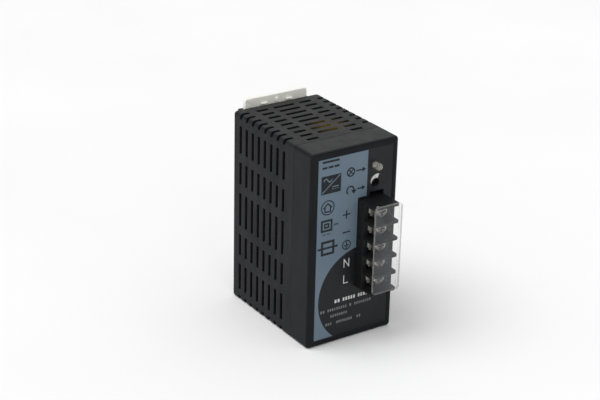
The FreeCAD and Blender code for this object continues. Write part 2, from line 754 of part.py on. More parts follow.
def terminal_lid():
    """Clear cover over the terminals, on two short pins in the end barriers."""
    body = new_body("terminal_cover")
    extrude(
        body, "Pad", "lid_plate", "XZ", "-lid_inner - lid_thickness", "lid_thickness",
        (rectangle, "plate", "lid_left", "lid_centre - lid_half", "lid_width", "2 * lid_half"),
    )
    dress(body, "Fillet", "lid_corners", "lid_corner", lambda edge: runs_along(edge, "y"))
    extrude(
        body, "Pad", "lid_lip", "XZ", "-lid_inner", "lid_lip",
        (
            rectangle, "lip", "lid_left + lid_width - lid_lip_width",
            "lid_centre - lid_half + lid_corner", "lid_lip_width", "2 * (lid_half - lid_corner)",
        ),
    )
    ear = (
        rectangle, "ear", "ear_left", "-lid_inner - lid_thickness",
        "lid_left + lid_width - lid_corner / 2 - ear_left",
        "lid_inner + lid_thickness - hinge_depth + ear_back",
    )
    extrude(body, "Pad", "ear_low", "XY", "block_centre - ear_outer_half", "ear_thickness", ear)
    extrude(
        body, "Pad", "ear_high", "XY", "block_centre + ear_outer_half - ear_thickness",
        "ear_thickness", ear,
    )
    back = size("ear_back") - size("hinge_depth")
    dress(
        body, "Fillet", "ear_corners", "ear_corner",
        lambda edge: runs_along(edge, "z") and lies_at(edge, "y", back),
    )
    pin = (circle, "pin", "hinge_across", "-hinge_depth", "hinge_pin_radius")
    extrude(
        body, "Pad", "pin_low", "XY", "block_centre - ear_outer_half - hinge_pin_length",
        "hinge_pin_length + ear_thickness / 2", pin,
    )
    extrude(
        body, "Pad", "pin_high", "XY", "block_centre + ear_outer_half - ear_thickness / 2",
        "hinge_pin_length + ear_thickness / 2", pin,
    )
    extrude(
        body, "Pad", "catch", "XZ", "-lid_inner - lid_thickness", "lid_thickness",
        (
            rectangle, "catch", "lid_left + lid_corner / 2", "lid_centre + lid_half - catch_height",
            "catch_width", "2 * catch_height",
        ),
    )


# ---- front board and what it carries ----


def front_board():
    body = new_body("front_board")
    extrude(
        body, "Pad", "board", "XZ", "front_board_depth", "board_thickness",
        (
            rectangle, "outline", "-front_board_half", "front_board_bottom",
            "2 * front_board_half", "front_board_height",
        ),
    )
    extrude(
        body, "Pocket", "screw_holes", "XZ", "front_board_depth", "board_thickness",
        *bosses("board_hole_radius"),
    )
    slot = extrude(
        body, "Pocket", "pin_hole", "XZ", "front_board_depth", "board_thickness",
        (
            rectangle, "slot", "pin_across - pin_width / 2 - pin_gap",
            f"{FIRST_TERMINAL} - pin_height / 2 - pin_gap",
            "pin_width + 2 * pin_gap", "pin_height + 2 * pin_gap",
        ),
    )
    repeat(
        body, "pin_holes", [slot], "Z_Axis", "(terminal_count - 1) * terminal_pitch",
        "terminal_count",
    )
    hole_side = "led_lead_side + 2 * pin_gap"
    leads = [
        (
            rectangle, f"lead_{side}",
            f"led_across {sign} led_lead_spacing - led_lead_side / 2 - pin_gap",
            "led_height - led_lead_side / 2 - pin_gap", hole_side, hole_side,
        )
        for side, sign in (("left", "-"), ("right", "+"))
    ]
    extrude(
        body, "Pocket", "lead_holes", "XZ", "front_board_depth", "board_thickness", *leads
    )


def board_screws():
    """Three self-tapping screws that hold the front board to the cover's bosses."""
    screws = []
    for index, (across, height) in enumerate(
        (("boss_left", "boss_low"), ("boss_left", "boss_high"), ("boss_right", "boss_low"))
    ):
        behind = "front_board_depth + board_thickness"
        shank = rod(
            f"board_screw_{index}_shank", "y", (across, f"{behind} - board_screw_length", height),
            "board_screw_radius", "board_screw_length",
        )
        head = rod(
            f"board_screw_{index}_head", "y", (across, behind, height),
            "board_screw_head_radius", "board_screw_head_height",
        )
        drive = box(
            f"board_screw_{index}_drive",
            (
                f"{across} - board_screw_head_radius", f"{behind} + board_screw_head_height / 2",
                f"{height} - led_lead_side / 2",
            ),
            ("2 * board_screw_head_radius", "board_screw_head_height", "led_lead_side"),
        )
        whole = joined(f"board_screw_{index}_blank", shank, head)
        screws.append(cut(f"board_screw_{index}", whole, drive))
    group = doc.addObject("Part::Compound", "board_screw_group")
    group.Links = screws
    keep("board_screws", group)


def led():
    """Clear 3 mm lamp body with a domed nose and a rim behind the front wall."""
    straight = "led_reach - led_radius + led_rim_depth"
    barrel = rod(
        "led_barrel", "y", ("led_across", "led_radius - led_reach", "led_height"), "led_radius",
        straight,
    )
    dome = doc.addObject("Part::Sphere", "led_dome")
    dome.setExpression("Radius", bound("led_radius"))
    place(dome, "led_across", "led_radius - led_reach", "led_height")
    rim = rod(
        "led_rim", "y", ("led_across", "led_rim_depth", "led_height"), "led_rim_radius",
        "led_rim_thickness",
    )
    keep("led_lens", joined("led_body", barrel, dome, rim))
    behind_rim = "led_rim_depth + led_rim_thickness"
    for side, sign in (("left", "-"), ("right", "+")):
        lead = box(
            f"led_lead_{side}_bar",
            (
                f"led_across {sign} led_lead_spacing - led_lead_side / 2", behind_rim,
                "led_height - led_lead_side / 2",
            ),
            (
                "led_lead_side", f"front_board_depth + board_thickness + led_tail - ({behind_rim})",
                "led_lead_side",
            ),
        )
        keep(f"led_lead_{side}", lead)


def trimmer():
    """Square trimmer on the front board and the rotor that a screwdriver turns."""
    block = box(
        "trimmer_block",
        ("trimmer_across - trimmer_side / 2", "trimmer_depth", "trimmer_centre - trimmer_side / 2"),
        ("trimmer_side", "front_board_depth - trimmer_depth", "trimmer_side"),
    )
    bore = rod(
        "trimmer_bore", "y", ("trimmer_across", "rotor_front", "trimmer_centre"),
        "rotor_bore_radius", "rotor_length + rotor_end_gap",
    )
    keep("trimmer_body", cut("trimmer_cut", block, bore))
    stem = rod(
        "rotor_stem", "y", ("trimmer_across", "rotor_front", "trimmer_centre"), "rotor_radius",
        "rotor_length",
    )
    slot = box(
        "rotor_slot",
        (
            "trimmer_across - rotor_slot_width / 2", "rotor_front",
            "trimmer_centre - rotor_radius",
        ),
        ("rotor_slot_width", "rotor_slot_depth", "2 * rotor_radius"),
    )
    keep("trimmer_rotor", cut("rotor_cut", stem, slot))


# ---- main board and what it carries ----


def main_board():
    keep(
        "main_board",
        box(
            "main_board_sheet", ("main_board_across", "main_board_depth", "main_board_bottom"),
            ("board_thickness", "main_board_length", "main_board_height"),
        ),
    )


def board_parts():
    for name in BOARD_BLOCKS:
        block = box(
            f"{name}_block",
            (f"main_board_across - {name}_reach", f"{name}_near", f"{name}_low"),
            (f"{name}_reach", f"{name}_deep", f"{name}_tall"),
        )
        keep(name, block)
    for name in BOARD_CANS:
        can = rod(
            f"{name}_can", "x",
            (f"main_board_across - {name}_reach", f"{name}_depth", f"{name}_centre"),
            f"{name}_radius", f"{name}_reach",
        )
        keep(name, can)
    for name in BOARD_DISCS:
        axis = f"main_board_across - {name}_radius - board_thickness"
        disc = rod(
            f"{name}_disc", "y", (axis, f"{name}_near", f"{name}_centre"), f"{name}_radius",
            f"{name}_deep",
        )
        lead = box(
            f"{name}_lead",
            (
                axis, f"{name}_near + {name}_deep / 2 - led_lead_side / 2",
                f"{name}_centre - {name}_radius / 2",
            ),
            (f"{name}_radius + board_thickness", "led_lead_side", f"{name}_radius"),
        )
        keep(name, joined(f"{name}_whole", disc, lead))


def ring(name, inner, outer, start, length):
    """Tube along X about the line filter's axis."""
    centre = ("ring_depth", "ring_centre")
    outside = rod(f"{name}_outside", "x", (start, *centre), outer, length)
    inside = rod(
        f"{name}_inside", "x", (f"{start} - {OVERRUN}", *centre), inner,
        f"{length} + 2 * {OVERRUN}",
    )
    return cut(f"{name}_tube", outside, inside)


def line_filter():
    """Ring core with a coil wrapped on each half, lying on the main board."""
    start = "main_board_across - ring_lift - ring_height"
    keep("filter_core", ring("filter_core", "ring_inner", "ring_outer", start, "ring_height"))
    for side, near in (
        ("front", "ring_depth - ring_outer - 2 * coil_wrap"),
        ("rear", "ring_depth + coil_split_half"),
    ):
        tag = f"filter_coil_{side}"
        shell = ring(
            f"{tag}_shell", "ring_inner - coil_wrap", "ring_outer + coil_wrap",
            f"{start} - coil_wrap", "ring_height + 2 * coil_wrap",
        )
        hollow = ring(
            f"{tag}_hollow", "ring_inner - ring_gap", "ring_outer + ring_gap",
            f"{start} - ring_gap", "ring_height + 2 * ring_gap",
        )
        half = box(
            f"{tag}_half",
            (f"{start} - 2 * coil_wrap", near, "ring_centre - ring_outer - 2 * coil_wrap"),
            (
                "ring_height + 4 * coil_wrap", "ring_outer + 2 * coil_wrap - coil_split_half",
                "2 * (ring_outer + 2 * coil_wrap)",
            ),
        )
        wrapped = cut(f"{tag}_wrapped", shell, hollow)
        coil = doc.addObject("Part::Common", f"{tag}_coil")
        coil.Base = wrapped
        coil.Tool = half
        keep(tag, coil)


def transformer():
    """Wound bobbin between two ferrite halves, its axis pointing off the main board."""
    centre = ("transformer_depth", "transformer_centre")
    board_side = "main_board_across - core_lift - core_back"
    coil_start = f"{board_side} - flange_reach - coil_length"
    far_side = f"{coil_start} - flange_reach"
    tube = rod(
        "bobbin_tube", "x", (far_side, *centre), "tube_radius + tube_wall",
        "coil_length + 2 * flange_reach",
    )
    flanges = [
        box(
            f"bobbin_flange_{end}",
            (
                start, "transformer_depth - flange_half_depth",
                "transformer_centre - flange_half_height",
            ),
            ("flange_reach", "2 * flange_half_depth", "2 * flange_half_height"),
        )
        for end, start in (("far", far_side), ("near", f"{coil_start} + coil_length"))
    ]
    bore = rod(
        "bobbin_bore", "x", (f"{far_side} - {OVERRUN}", *centre), "tube_radius",
        f"coil_length + 2 * (flange_reach + {OVERRUN})",
    )
    keep("transformer_bobbin", cut("bobbin_cut", joined("bobbin_blank", tube, *flanges), bore))
    layers = (
        ("transformer_winding", "tube_radius + tube_wall", "copper_radius", "0"),
        ("transformer_tape", "copper_radius", "tape_radius", "tape_inset"),
    )
    for name, inner, outer, inset in layers:
        outside = rod(
            f"{name}_outside", "x", (f"{coil_start} + {inset}", *centre), outer,
            f"coil_length - 2 * {inset}",
        )
        inside = rod(
            f"{name}_inside", "x", (f"{coil_start} - {OVERRUN}", *centre), inner,
            f"coil_length + 2 * {OVERRUN}",
        )
        keep(name, cut(f"{name}_cut", outside, inside))
    core_half("near", board_side, f"{coil_start} + coil_length / 2 + core_air_gap / 2")
    core_half("far", f"{far_side} - core_back", far_side)


def core_half(end, back_start, leg_start):
    """One E-shaped ferrite half: a back plate, a round middle leg and two outer legs."""
    tag = f"core_{end}"
    leg_length = "coil_length / 2 + flange_reach - core_air_gap / 2"
    low = "transformer_centre - core_half_height"
    tall = "2 * core_half_height"
    outer = "core_leg_near + core_leg_depth"
    back = box(
        f"{tag}_back", (back_start, f"transformer_depth - ({outer})", low),
        ("core_back", f"2 * ({outer})", tall),
    )
    leg = rod(
        f"{tag}_middle", "x", (leg_start, "transformer_depth", "transformer_centre"),
        "core_leg_radius", leg_length,
    )
    sides = [
        box(f"{tag}_{side}", (leg_start, near, low), (leg_length, "core_leg_depth", tall))
        for side, near in (
            ("front", f"transformer_depth - ({outer})"),
            ("rear", "transformer_depth + core_leg_near"),
        )
    ]
    keep(f"transformer_core_{end}", joined(f"{tag}_whole", back, leg, *sides))


# ---- rail clip ----


def rail_latch():
    """Nylon slide that hooks over the rail's upper lip and is pulled up to let go."""
    body = new_body("rail_latch")
    nose_bottom = "case_height / 2 + rail_half - latch_overlap"
    extrude(
        body, "Pad", "latch_plate", "XZ", "case_depth + latch_gap", "latch_thickness",
        (
            rectangle, "plate", "-latch_half", "case_height / 2 + rail_half + rail_gap",
            "2 * latch_half", "case_height / 2 + latch_rise - rail_half - rail_gap",
        ),
    )
    top = size("case_height") + size("latch_rise")
    dress(
        body, "Fillet", "latch_corners", "latch_corner",
        lambda edge: runs_along(edge, "y") and lies_at(edge, "z", top),
    )
    nose_back = "hook_back - rail_lip - rail_gap"
    extrude(
        body, "Pad", "latch_nose", "XZ", "case_depth + rail_lip + rail_gap", nose_back,
        (rectangle, "nose", "-latch_half", nose_bottom, "2 * latch_half", "nose_height"),
    )
    low = size("case_height") / 2 + size("rail_half") - size("latch_overlap")
    back = size("case_depth") + size("hook_back")
    dress(
        body, "Chamfer", "nose_ramp", "nose_chamfer",
        lambda edge: runs_along(edge, "x") and lies_at(edge, "z", low) and lies_at(edge, "y", back),
    )
    extrude(
        body, "Pocket", "spring_pocket", "XZ", "case_depth", "latch_gap + latch_thickness",
        (
            rectangle, "pocket", "-pocket_half", "pocket_bottom", "2 * pocket_half",
            "post_bottom + post_height + post_gap - pocket_bottom",
        ),
    )
    rib_bottom = "case_height + grip_rib_lift"
    extrude(
        body, "Pad", "grip_rib", "XZ", "case_depth + latch_gap - grip_rib_reach",
        "grip_rib_reach + latch_gap",
        (
            rectangle, "rib", "-grip_rib_half", rib_bottom, "2 * grip_rib_half",
            "grip_rib_height",
        ),
        (
            rectangle, "left_foot", "-grip_foot_near - grip_foot_width", rib_bottom,
            "grip_foot_width", "grip_foot_height",
        ),
        (
            rectangle, "right_foot", "grip_foot_near", rib_bottom, "grip_foot_width",
            "grip_foot_height",
        ),
    )


def latch_spring():
    """Round wire coiled about an upright axis between the latch and the case's post."""
    foot = "(pocket_bottom + spring_wire_radius + rib_gap)"
    centre = ("0", "case_depth + spring_gap + spring_radius", foot)
    free = f"(post_bottom - rib_gap - spring_wire_radius - {foot})"
    line = doc.addObject("Part::Helix", "spring_line")
    line.setExpression("Radius", bound("spring_radius"))
    line.setExpression("Pitch", bound(f"{free} / spring_turns"))
    line.setExpression("Height", bound(free))
    place(line, *centre)
    ring_outline = doc.addObject("Part::Circle", "spring_wire")
    ring_outline.setExpression("Radius", bound("spring_wire_radius"))
    ring_outline.Placement.Rotation = FreeCAD.Rotation(AXES["x"], 90)
    place(ring_outline, "spring_radius", centre[1], centre[2])
    coil = doc.addObject("Part::Sweep", "spring_coil")
    coil.Sections = [ring_outline]
    coil.Spine = (line, ["Edge1"])
    coil.Solid = True
    coil.Frenet = True
    keep("latch_spring", coil)


def check_and_write():
    doc.recompute()
    failed = [item.Name for item in doc.Objects if {"Invalid", "Error"} & set(item.State)]
    if failed:
        raise RuntimeError(f"failed objects: {failed}")
    for label, item in sub_parts.items():
        shape = item.Shape
        if shape.isNull() or not shape.isValid() or shape.Volume < MINIMUM_STOCK:
            raise RuntimeError(f"{label} has no valid solid")
        print(f"{label}: {len(item.Shape.Solids)} solid(s), {item.Shape.Volume:.1f} mm3")
    for label, item in sub_parts.items():
        item.Shape.exportStep(os.path.join("parts", f"{label}.step"))


fill_sheet()
rear_shell()
front_cover()
front_label()
terminal_block()
for terminal in TERMINALS:
    terminal_contact(terminal)
    clamp_washer(terminal)
    terminal_screw(terminal)
terminal_lid()
front_board()
board_screws()
led()
trimmer()
main_board()
board_parts()
line_filter()
transformer()
rail_latch()
latch_spring()
check_and_write()
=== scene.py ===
import math

import bmesh
import bpy
from mathutils import Matrix, Vector


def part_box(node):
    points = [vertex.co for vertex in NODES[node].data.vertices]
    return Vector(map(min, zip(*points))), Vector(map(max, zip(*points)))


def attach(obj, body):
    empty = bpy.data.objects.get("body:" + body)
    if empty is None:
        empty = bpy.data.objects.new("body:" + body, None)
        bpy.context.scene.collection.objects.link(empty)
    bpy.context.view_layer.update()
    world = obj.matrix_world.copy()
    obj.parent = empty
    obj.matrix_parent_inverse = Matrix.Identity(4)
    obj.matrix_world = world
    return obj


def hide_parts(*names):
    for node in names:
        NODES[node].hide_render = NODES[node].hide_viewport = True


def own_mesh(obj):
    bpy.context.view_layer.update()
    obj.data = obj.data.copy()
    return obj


# DIN rail power supply. Places are written as (across, depth, height) in millimetres, as in
# the CAD source: across from the middle, depth behind the front plane, height above the base.

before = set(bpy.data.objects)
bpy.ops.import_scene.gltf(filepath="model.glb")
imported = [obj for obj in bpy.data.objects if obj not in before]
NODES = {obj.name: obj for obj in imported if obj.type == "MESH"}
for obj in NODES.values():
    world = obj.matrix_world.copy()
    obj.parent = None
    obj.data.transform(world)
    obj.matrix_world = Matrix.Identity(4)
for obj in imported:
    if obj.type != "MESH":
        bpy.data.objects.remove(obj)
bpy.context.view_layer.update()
COVER_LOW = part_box("front_cover")[0]
FILM_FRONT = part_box("front_label")[0].y
# Each printed shape lies this much, in metres, in front of the one before it.
INK_LAYER = 1e-7
# Depth of the joint between the two halves of the case, in millimetres.
SEAM_DEPTH = 13
# (across, height) of the lamp and the trimmer, in millimetres.
LAMP = (10.3, 80.15)
TRIMMER = (10.8, 71.85)
# Parts on the boards whose edges are rounded.
BOARD_PARTS = (
    "x_capacitor", "bridge_rectifier", "controller_chip", "optocoupler", "snubber_capacitor",
    "power_switch", "output_diode", "switch_heatsink", "diode_heatsink", "bulk_capacitor",
    "output_capacitor_upper", "output_capacitor_lower", "output_choke", "input_fuse",
    "surge_varistor", "inrush_thermistor", "safety_capacitor", "filter_core",
    "transformer_core_near", "transformer_core_far", "transformer_bobbin",
)


def at(across, depth, height):
    return Vector((across / 1000, COVER_LOW.y + depth / 1000, COVER_LOW.z + height / 1000))


def make_camera():
    """The photograph's view, from a pinhole fit to the case's outline and slots."""
    azimuth, elevation, roll = (math.radians(a) for a in (-34.1728, 23.5913, 1.37526))
    back = Vector((
        math.sin(azimuth) * math.cos(elevation),
        -math.cos(azimuth) * math.cos(elevation),
        math.sin(elevation),
    ))
    target, distance = Vector((-0.027948, -0.0617, 0.026887)), 0.65223
    level = (-back).cross(Vector((0, 0, 1))).normalized()
    upright = level.cross(-back)
    right = math.cos(roll) * level + math.sin(roll) * upright
    up = math.cos(roll) * upright - math.sin(roll) * level
    data = bpy.data.cameras.new("camera")
    data.lens, data.sensor_width = 94.494, 36
    data.clip_start, data.clip_end = 0.01, 20
    camera = bpy.data.objects.new("camera", data)
    turn = Matrix((right, up, back)).transposed().to_4x4()
    camera.matrix_world = Matrix.Translation(target + back * distance) @ turn
    bpy.context.collection.objects.link(camera)
    bpy.context.scene.camera = camera


# ---------------------------------------------------------------- materials


class Surface:
    """A principled material whose colour, roughness and relief come from procedural nodes."""

    def __init__(self, name, **sockets):
        self.material = bpy.data.materials.new(name)
        self.material.use_nodes = True
        self.tree = self.material.node_tree
        self.shader = self.tree.nodes["Principled BSDF"]
        self.place = self.node("TexCoord").outputs["Object"]
        for socket, value in sockets.items():
            self.shader.inputs[socket.replace("_", " ")].default_value = value

    def node(self, kind, inputs=(), **settings):
        made = self.tree.nodes.new("ShaderNode" + kind)
        for name, value in settings.items():
            setattr(made, name, value)
        for key, value in dict(inputs).items():
            self.feed(made.inputs[key], value)
        return made

    def feed(self, socket, value):
        if isinstance(value, bpy.types.NodeSocket):
            self.tree.links.new(value, socket)
        else:
            socket.default_value = value

    def math(self, operation, first, second=0.0, third=0.0):
        inputs = {0: first, 1: second, 2: third}
        return self.node("Math", inputs, operation=operation).outputs[0]

    def noise(self, scale, detail=3, stretch=(1, 1, 1)):
        place = self.node("Mapping", {"Vector": self.place, "Scale": stretch}).outputs[0]
        inputs = {"Vector": place, "Scale": scale, "Detail": detail, "Roughness": 0.55}
        return self.node("TexNoise", inputs).outputs["Fac"]

    def spread(self, value, low, high, to_low=0.0, to_high=1.0):
        """Maps low..high onto to_low..to_high, held at both ends."""
        inputs = {
            "Value": value, "From Min": low, "From Max": high, "To Min": to_low, "To Max": to_high,
        }
        return self.node("MapRange", inputs).outputs[0]

    def blend(self, share, first, second):
        """The first colour with a share of the second over it."""
        made = self.node("Mix", data_type="RGBA", blend_type="MIX", clamp_factor=True)
        self.feed(made.inputs[0], share)
        for socket, value in ((made.inputs[6], first), (made.inputs[7], second)):
            self.feed(socket, value if isinstance(value, bpy.types.NodeSocket) else (*value, 1))
        return made.outputs[2]

    def rounded(self, radius):
        """The surface's direction with its sharp edges softened."""
        return self.node("Bevel", {"Radius": radius}, samples=4).outputs[0]

    def edges(self, rounded):
        """Share of edge colour, rubbed wear and in mouldings a painted highlight: high where the
        surface turns sharply.
        """
        gain = 3.0
        flat = self.node("NewGeometry").outputs["Normal"]
        facing = self.node("VectorMath", {0: rounded, 1: flat}, operation="DOT_PRODUCT")
        turned = self.math("SUBTRACT", 1.0, facing.outputs["Value"])
        edge_share = self.math("MULTIPLY", turned, self.spread(self.noise(900, 2), 0.3, 0.7, 0.3, 1.3))
        return self.math("MINIMUM", self.math("MULTIPLY", edge_share, gain), 1.0)

    def relief(self, height, strength, distance, under=None):
        inputs = {"Height": height, "Strength": strength, "Distance": distance}
        if under is not None:
            inputs["Normal"] = under
        return self.node("Bump", inputs).outputs[0]

    def use(self, **sockets):
        for socket, value in sockets.items():
            self.feed(self.shader.inputs[socket.replace("_", " ")], value)
        return self.material


def moulded(
    name, dark, light, rough, wear_and_highlight, grain=3600, depth=0.00002, edge_radius=0.0004,
    painted_top_light=None, painted_glow=None, seam=None, **sockets
):
    """Moulded or cast stuff: blotches, fine grain, scuffs in the gloss and lighter edges.

    The edge colour is partly rubbed wear, partly a painted highlight; the colour for faces that
    look up is painted light, lighter as if lit from above.
    The glow, (centre, reach, colour), is painted light: amber light that the tape inside throws on
    the slot walls, painted into their colour.
    seam is the place along Y, in metres, of the joint with the next moulding."""
    surface = Surface(name, **sockets)
    blotch = surface.spread(surface.noise(75, 4), 0.3, 0.7)
    fine = surface.noise(grain, 2)
    colour = surface.blend(blotch, dark, light)
    colour = surface.blend(surface.spread(fine, 0.35, 0.65, 0.0, 0.25), colour, light)
    rounded = surface.rounded(edge_radius)
    # Rubbed wear and painted highlight: edges are lighter where the surface turns sharply.
    colour = surface.blend(surface.edges(rounded), colour, wear_and_highlight)
    up = surface.node("SeparateXYZ", {0: surface.node("TexCoord").outputs["Normal"]}).outputs[2]
    # Painted light: faces that look up are made lighter, a little unevenly, as if lit from above.
    if painted_top_light is not None:
        uneven = surface.spread(blotch, 0.0, 1.0, 0.8, 1.0)
        painted_top_share = surface.math("MULTIPLY", surface.spread(up, 0.7, 0.98), uneven)
        colour = surface.blend(painted_top_share, colour, painted_top_light)
    # Painted light: amber on the slot walls, fading with distance from the centre, for light thrown
    # by the tape inside.
    if painted_glow is not None:
        centre, reach, lit = painted_glow
        away = surface.node("VectorMath", {0: surface.place, 1: centre}, operation="DISTANCE")
        near = surface.spread(away.outputs["Value"], reach, reach * 0.3)
        walls = surface.spread(surface.math("ABSOLUTE", up), 0.95, 0.3, 0.05, 1.0)
        colour = surface.blend(surface.math("MULTIPLY", near, walls), colour, lit)
    if seam is not None:
        gap = (0.002, 0.002, 0.002)
        along = surface.node("SeparateXYZ", {0: surface.place}).outputs[1]
        off = surface.math("ABSOLUTE", surface.math("SUBTRACT", along, seam))
        colour = surface.blend(surface.spread(off, 0.00032, 0.00010), colour, gap)
    scuffs = surface.noise(240, 5, stretch=(1, 1, 0.25))
    gloss = surface.spread(scuffs, 0.3, 0.7, rough[0], rough[1])
    bump = surface.relief(fine, 0.5, depth, rounded)
    return surface.use(Base_Color=colour, Roughness=gloss, Normal=bump)


def plated(name, dark, light, rough, stretch=(1, 1, 12), stain=None, **sockets):
    """Metal with a drawn or turned grain, dull patches and brighter rubbed edges."""
    surface = Surface(name, **{"Metallic": 1.0, **sockets})
    lines = surface.noise(1500, 4, stretch=stretch)
    patches = surface.spread(surface.noise(420, 4), 0.42, 0.68)
    colour = surface.blend(lines, dark, light)
    if stain is not None:
        colour = surface.blend(surface.math("MULTIPLY", patches, 0.6), colour, stain)
    colour = surface.blend(surface.edges(surface.rounded(0.0002)), colour, light)
    gloss = surface.spread(surface.math("ADD", lines, patches), 0.4, 1.5, rough[0], rough[1])
    bump = surface.relief(lines, 0.35, 0.00001)
    return surface.use(Base_Color=colour, Roughness=gloss, Normal=bump)


def wound(name, pitch, dark, light, rough, **sockets):
    """Turns of wire or tape: rounded bands across X of the given pitch, in metres."""
    surface = Surface(name, **sockets)
    scale = math.tau / (20 * pitch)
    inputs = {"Vector": surface.place, "Scale": scale, "Distortion": 0.35, "Detail": 1.5}
    turns = surface.node("TexWave", inputs, wave_type="BANDS", bands_direction="X").outputs["Fac"]
    tint = surface.spread(surface.noise(260, 3), 0.3, 0.7, 0.0, 0.5)
    colour = surface.blend(turns, dark, light)
    colour = surface.blend(tint, colour, dark)
    gloss = surface.spread(surface.noise(900, 2), 0.3, 0.7, rough[0], rough[1])
    bump = surface.relief(turns, 0.7, pitch * 0.3)
    return surface.use(Base_Color=colour, Roughness=gloss, Normal=bump)


def printed_film():
    """Blue-grey film with a black disc and a black right-hand part, matt varnished."""
    surface = Surface("label_film", Specular_IOR_Level=0.2)
    axes = surface.node("SeparateXYZ", {0: surface.place}).outputs
    disc, disc_radius = at(5.9, 0, 20.75), 0.023
    # The black part is 4.5 mm narrower above the step than below it.
    step, step_width, low_border = at(0, 0, 66.65).z, 0.0045, 0.002
    off_x = surface.math("SUBTRACT", axes[0], disc.x)
    off_z = surface.math("SUBTRACT", axes[2], disc.z)
    reach = surface.math("SQRT", surface.math(
        "ADD", surface.math("MULTIPLY", off_x, off_x), surface.math("MULTIPLY", off_z, off_z)
    ))
    in_disc = surface.math("LESS_THAN", reach, disc_radius)
    upper = surface.math("GREATER_THAN", axes[2], step)
    border = surface.math("MULTIPLY_ADD", upper, step_width, low_border)
    right = surface.math("GREATER_THAN", axes[0], border)
    black = surface.math("MAXIMUM", in_disc, right)
    fade = surface.spread(surface.noise(40, 4), 0.3, 0.7)
    blue = surface.blend(fade, (0.118, 0.168, 0.214), (0.138, 0.192, 0.240))
    dots = surface.spread(surface.noise(5200, 1), 0.3, 0.7, 0.0, 0.16)
    blue = surface.blend(dots, blue, (0.075, 0.11, 0.145))
    ink = surface.blend(fade, (0.0085, 0.0092, 0.012), (0.0125, 0.0135, 0.017))
    gloss = surface.spread(surface.noise(300, 5), 0.3, 0.7, 0.38, 0.52)
    bump = surface.relief(surface.noise(2600, 2), 0.25, 0.00001)
    return surface.use(Base_Color=surface.blend(black, blue, ink), Roughness=gloss, Normal=bump)


def print_ink(name, dark, light):
    """Screen print: thin patches, slightly uneven gloss."""
    surface = Surface(name, Specular_IOR_Level=0.12)
    patchy = surface.spread(surface.noise(1700, 4), 0.35, 0.6)
    gloss = surface.spread(surface.noise(500, 3), 0.3, 0.7, 0.42, 0.6)
    bump = surface.relief(surface.noise(4200, 2), 0.3, 0.00001)
    colour = surface.blend(patchy, dark, light)
    return surface.use(Base_Color=colour, Roughness=gloss, Normal=bump)


def clear_plastic():
    """Polycarbonate plate: see-through with a light haze, bright on its cut edges."""
    surface = Surface("clear_plastic", IOR=1.58, Coat_Weight=0.3, Coat_Roughness=0.06)
    surface.material.surface_render_method = "BLENDED"
    facing = surface.node("TexCoord").outputs["Normal"]
    across = surface.math("ABSOLUTE", surface.node("SeparateXYZ", {0: facing}).outputs[1])
    depth = surface.node("SeparateXYZ", {0: surface.place}).outputs[1]
    in_plate = surface.math("LESS_THAN", depth, at(0, -11.9, 0).y)
    rim = surface.math("MULTIPLY", surface.spread(across, 0.9, 0.35), in_plate)
    haze = surface.spread(surface.noise(160, 4, stretch=(1, 1, 0.4)), 0.3, 0.7, 0.07, 0.12)
    scratch = surface.spread(surface.noise(900, 3, stretch=(1, 1, 0.05)), 0.62, 0.72, 0.0, 0.08)
    body = surface.math("ADD", haze, scratch)
    alpha = surface.math("MAXIMUM", body, surface.math("MULTIPLY", rim, 0.5))
    colour = surface.blend(rim, (0.34, 0.35, 0.37), (0.40, 0.39, 0.36))
    gloss = surface.spread(surface.noise(420, 4), 0.3, 0.7, 0.07, 0.2)
    bump = surface.relief(surface.noise(220, 2), 0.15, 0.00002)
    return surface.use(Base_Color=colour, Alpha=alpha, Roughness=gloss, Normal=bump)


def lamp_plastic():
    """Cloudy clear lens, denser where it is seen at a slant."""
    surface = Surface(
        "lamp_lens", IOR=1.52, Subsurface_Weight=0.2, Subsurface_Scale=0.001,
        Subsurface_Radius=(1.0, 0.95, 0.85), Coat_Weight=0.8, Coat_Roughness=0.06,
    )
    cloud = surface.spread(surface.noise(900, 3), 0.3, 0.7)
    colour = surface.blend(cloud, (0.20, 0.185, 0.15), (0.50, 0.485, 0.43))
    slant = surface.node("LayerWeight", {"Blend": 0.35}).outputs["Facing"]
    alpha = surface.spread(slant, 0.0, 1.0, 0.38, 0.95)
    gloss = surface.spread(surface.noise(700, 3), 0.3, 0.7, 0.08, 0.22)
    bump = surface.relief(surface.noise(1500, 2), 0.1, 0.00001)
    return surface.use(Base_Color=colour, Alpha=alpha, Roughness=gloss, Normal=bump)


def board_laminate():
    """Brown paper laminate: pressed fibres, with paler copper lands under the lacquer."""
    surface = Surface("board_laminate", Coat_Weight=0.25, Coat_Roughness=0.3)
    fibres = surface.noise(1400, 5, stretch=(1, 1, 0.2))
    cells = {"Vector": surface.place, "Scale": 210}
    lands = surface.node("TexVoronoi", cells, feature="DISTANCE_TO_EDGE")
    tracks = surface.math("GREATER_THAN", lands.outputs["Distance"], 0.16)
    colour = surface.blend(fibres, (0.30, 0.13, 0.045), (0.46, 0.23, 0.09))
    colour = surface.blend(surface.math("MULTIPLY", tracks, 0.35), colour, (0.55, 0.33, 0.14))
    gloss = surface.spread(fibres, 0.3, 0.7, 0.35, 0.6)
    bump = surface.relief(tracks, 0.3, 0.00003, surface.relief(fibres, 0.3, 0.00001))
    return surface.use(Base_Color=colour, Roughness=gloss, Normal=bump)


def pale_floor():
    """Studio floor, nearly white, with a faint mottle."""
    surface = Surface("studio_floor", Specular_IOR_Level=0.1)
    mottle = surface.spread(surface.noise(6, 3), 0.3, 0.7)
    bump = surface.relief(surface.noise(700, 2), 0.05, 0.0001)
    colour = surface.blend(mottle, (0.90, 0.90, 0.90), (0.93, 0.93, 0.93))
    return surface.use(Base_Color=colour, Roughness=0.8, Normal=bump)


